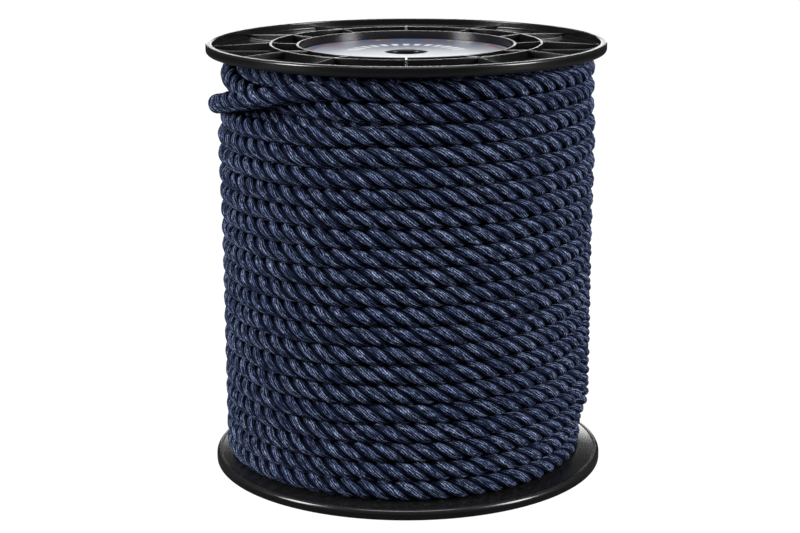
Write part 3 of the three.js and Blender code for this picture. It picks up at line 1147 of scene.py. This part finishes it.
# %% [markdown]
# ### The printed disc
#
# The label is a film whose colour goes from silver at the front to slate at the back, a painted
# reflection of the cup's wall. Plain pale bars stand in an arc where a maker would put words, and a
# row of small coloured dots follows the back edge. The pattern is worked out from the distance and
# the angle to the reel's axis.

# %% The label's print
BARS_FROM, BARS_TO = 0.0300, 0.0385
BAR_COUNT = 30
BAR_START, BAR_END, BAR_SOFT = 0.22, 0.78, 0.03
DOTS_AT, DOT_REACH = 0.0612, 0.0016
DOT_COUNT = 72
DOT_START, DOT_END, DOT_SOFT = 0.2, 0.8, 0.06
PRINT_SOFT = 0.0003
PAINTS = (
    (0.0, (0.55, 0.03, 0.03)),
    (0.22, (0.03, 0.08, 0.40)),
    (0.45, (0.62, 0.42, 0.04)),
    (0.62, (0.04, 0.22, 0.34)),
    (0.80, (0.30, 0.05, 0.25)),
)


def band(tree, value, low, high, edge):
    """1 between low and high, with soft edges."""
    return math_node(
        tree, "MULTIPLY",
        mapped(tree, value, low - edge, low + edge),
        mapped(tree, value, high - edge, high + edge, 1.0, 0.0),
    )


def label_finish():
    """Film that goes from silver to slate, a painted reflection of the cup's wall, with plain pale
    bars and a row of coloured dots.
    """
    finish, tree, shader = new_finish("printed_silver_film")
    place = add(tree, "ShaderNodeTexCoord").outputs["Object"]
    split = add(tree, "ShaderNodeSeparateXYZ", {0: place}).outputs
    flat = add(tree, "ShaderNodeCombineXYZ", {0: split[0], 1: split[1]}).outputs[0]
    radius = add(tree, "ShaderNodeVectorMath", {0: flat}, operation="LENGTH").outputs["Value"]
    turns = math_node(tree, "DIVIDE", math_node(tree, "ARCTAN2", split[1], split[0]), 2 * math.pi)
    turns = math_node(tree, "ADD", turns, 0.5)
    bars = math_node(tree, "MULTIPLY", turns, float(BAR_COUNT))
    bar_across = math_node(tree, "FRACT", bars)
    bar = math_node(
        tree, "MULTIPLY",
        band(tree, bar_across, BAR_START, BAR_END, BAR_SOFT),
        band(tree, radius, BARS_FROM, BARS_TO, PRINT_SOFT),
    )
    dots = math_node(tree, "MULTIPLY", turns, float(DOT_COUNT))
    dot_number = math_node(tree, "FLOOR", dots)
    dot = math_node(
        tree, "MULTIPLY",
        band(tree, math_node(tree, "FRACT", dots), DOT_START, DOT_END, DOT_SOFT),
        band(tree, radius, DOTS_AT - DOT_REACH, DOTS_AT + DOT_REACH, PRINT_SOFT),
    )
    chance = add(tree, "ShaderNodeTexWhiteNoise", {"W": dot_number}, noise_dimensions="1D").outputs["Value"]
    paint = add(tree, "ShaderNodeValToRGB", {0: chance})
    paint.color_ramp.interpolation = "CONSTANT"
    while len(paint.color_ramp.elements) < len(PAINTS):
        paint.color_ramp.elements.new(0.5)
    for element, (position, colour) in zip(paint.color_ramp.elements, PAINTS, strict=True):
        element.position = position
        element.color = colour + (1,)
    grain = add(tree, "ShaderNodeTexNoise", {"Vector": place, "Scale": 900.0, "Detail": 1.0}).outputs[0]
    # Painted reflection: the film turns from silver at the front to slate at the back, where the cup's wall
    # is mirrored.
    painted_reflection_fade = mapped(tree, split[1], -0.050, 0.055)
    film = mixed(tree, painted_reflection_fade, (0.80, 0.81, 0.84, 1), (0.085, 0.098, 0.150, 1))
    film = mixed(tree, math_node(tree, "MULTIPLY", grain, 0.2), film, (0.24, 0.25, 0.30, 1))
    back_half = mapped(tree, split[1], 0.0, 0.012)
    colour = mixed(tree, math_node(tree, "MULTIPLY", bar, back_half), film, (0.80, 0.82, 0.86, 1))
    colour = mixed(tree, math_node(tree, "MULTIPLY", dot, back_half), colour, paint.outputs[0])
    scratch = use_group(tree, SCRATCHES, {"Amount": 0.5})["Scratch"]
    speck = use_group(tree, SETTLED_DUST, {"Amount": 0.3})["Dust"]
    colour = mixed(tree, math_node(tree, "MULTIPLY", speck, 0.4), colour, (0.35, 0.35, 0.36, 1))
    tree.links.new(colour, shader.inputs["Base Color"])
    rough = math_node(tree, "ADD", mapped(tree, grain, 0.3, 0.7, 0.30, 0.36, "LINEAR"),
                      math_node(tree, "MULTIPLY", scratch, 0.15))
    tree.links.new(rough, shader.inputs["Roughness"])
    bump = add(tree, "ShaderNodeBump", {"Height": grain, "Strength": 0.05, "Distance": 0.0001})
    tree.links.new(bump.outputs[0], shader.inputs["Normal"])
    return finish


label.data.materials.append(label_finish())
print(f"the label has room for {BAR_COUNT // 2} bars and {DOT_COUNT // 2} dots in its back half")

# %% [markdown]
# ## The studio
#
# The reel stands on a plain white floor in front of a white surround. Two tall soft boxes stand to
# the left and right of the reel and draw the highlights on the rims, and a wide one hangs overhead,
# which lights the upper side of every turn. A low bright panel behind the reel is too low for the
# flat faces to mirror, but every small round along the ribs and rings catches it.

# %% Floor and surround
FLOOR_RADIUS = 6.0
FLOOR_SIDES = 96


def white_floor():
    """A flat disc of floor. The camera sees it as plain white, and it throws little light back."""
    angle = np.linspace(0, 2 * np.pi, FLOOR_SIDES, endpoint=False)
    points = np.stack([FLOOR_RADIUS * np.cos(angle), FLOOR_RADIUS * np.sin(angle), 0 * angle], axis=1)
    mesh = bpy.data.meshes.new("floor")
    mesh.from_pydata(points.tolist(), [], [list(range(len(points)))])
    floor = bpy.data.objects.new("floor", mesh)
    bpy.context.scene.collection.objects.link(floor)
    finish, tree, shader = new_finish("pale_floor")
    set_sockets(shader, Base_Color=(0.05, 0.05, 0.05, 1), Roughness=0.9, Specular_IOR_Level=0.0)
    set_sockets(shader, Emission_Color=(1, 1, 1, 1))
    path = add(tree, "ShaderNodeLightPath").outputs["Is Camera Ray"]
    tree.links.new(mapped(tree, path, 0.0, 1.0, 0.01, 1.0, "LINEAR"), shader.inputs["Emission Strength"])
    mesh.materials.append(finish)


def white_surround():
    """The camera sees plain white, and the object is lit by a dimmer, even surround."""
    world = bpy.data.worlds.new("surround")
    world.use_nodes = True
    tree = world.node_tree
    path = add(tree, "ShaderNodeLightPath").outputs["Is Camera Ray"]
    direction = add(tree, "ShaderNodeTexCoord").outputs["Generated"]
    upward = add(tree, "ShaderNodeSeparateXYZ", {0: direction}).outputs[2]
    ambient = mapped(tree, upward, 0.15, 0.95, 0.025, 0.16)
    strength = math_node(tree, "MAXIMUM", path, ambient)
    background = tree.nodes["Background"]
    background.inputs["Color"].default_value = (1, 1, 1, 1)
    tree.links.new(strength, background.inputs["Strength"])
    bpy.context.scene.world = world


white_floor()
white_surround()
print(f"the floor is {2 * FLOOR_RADIUS:.0f} m across")

# %% The soft boxes


def soft_box(name, place, target, width, height, power):
    """A rectangular area light at place that faces target."""
    data = bpy.data.lights.new(name, "AREA")
    data.shape = "RECTANGLE"
    data.size, data.size_y, data.energy = width, height, power
    lamp = bpy.data.objects.new(name, data)
    bpy.context.scene.collection.objects.link(lamp)
    backwards = np.array(place, float) - np.array(target, float)
    backwards /= np.linalg.norm(backwards)
    right = np.cross((0, 0, 1), backwards)
    right /= np.linalg.norm(right)
    axes = np.stack([right, np.cross(backwards, right), backwards], axis=1)
    lamp.matrix_world = Matrix.Translation(place) @ Matrix(axes.tolist()).to_4x4()


REEL_CENTRE = (0.0, 0.0, REEL_HEIGHT / 2)
soft_box("left_soft_box", (-1.65, -0.72, 0.85), REEL_CENTRE, 0.6, 1.1, 50)
soft_box("right_soft_box", (1.65, -0.72, 0.85), REEL_CENTRE, 0.6, 1.1, 50)
soft_box("overhead_soft_box", (0.0, -0.4, 1.6), REEL_CENTRE, 1.0, 0.5, 10)
soft_box("low_back_panel", (0.0, 3.0, 0.45), (0.0, 0.0, REEL_HEIGHT), 1.7, 0.42, 9)
bpy.context.scene.view_settings.view_transform = "Standard"
print("four area lights stand round the reel")
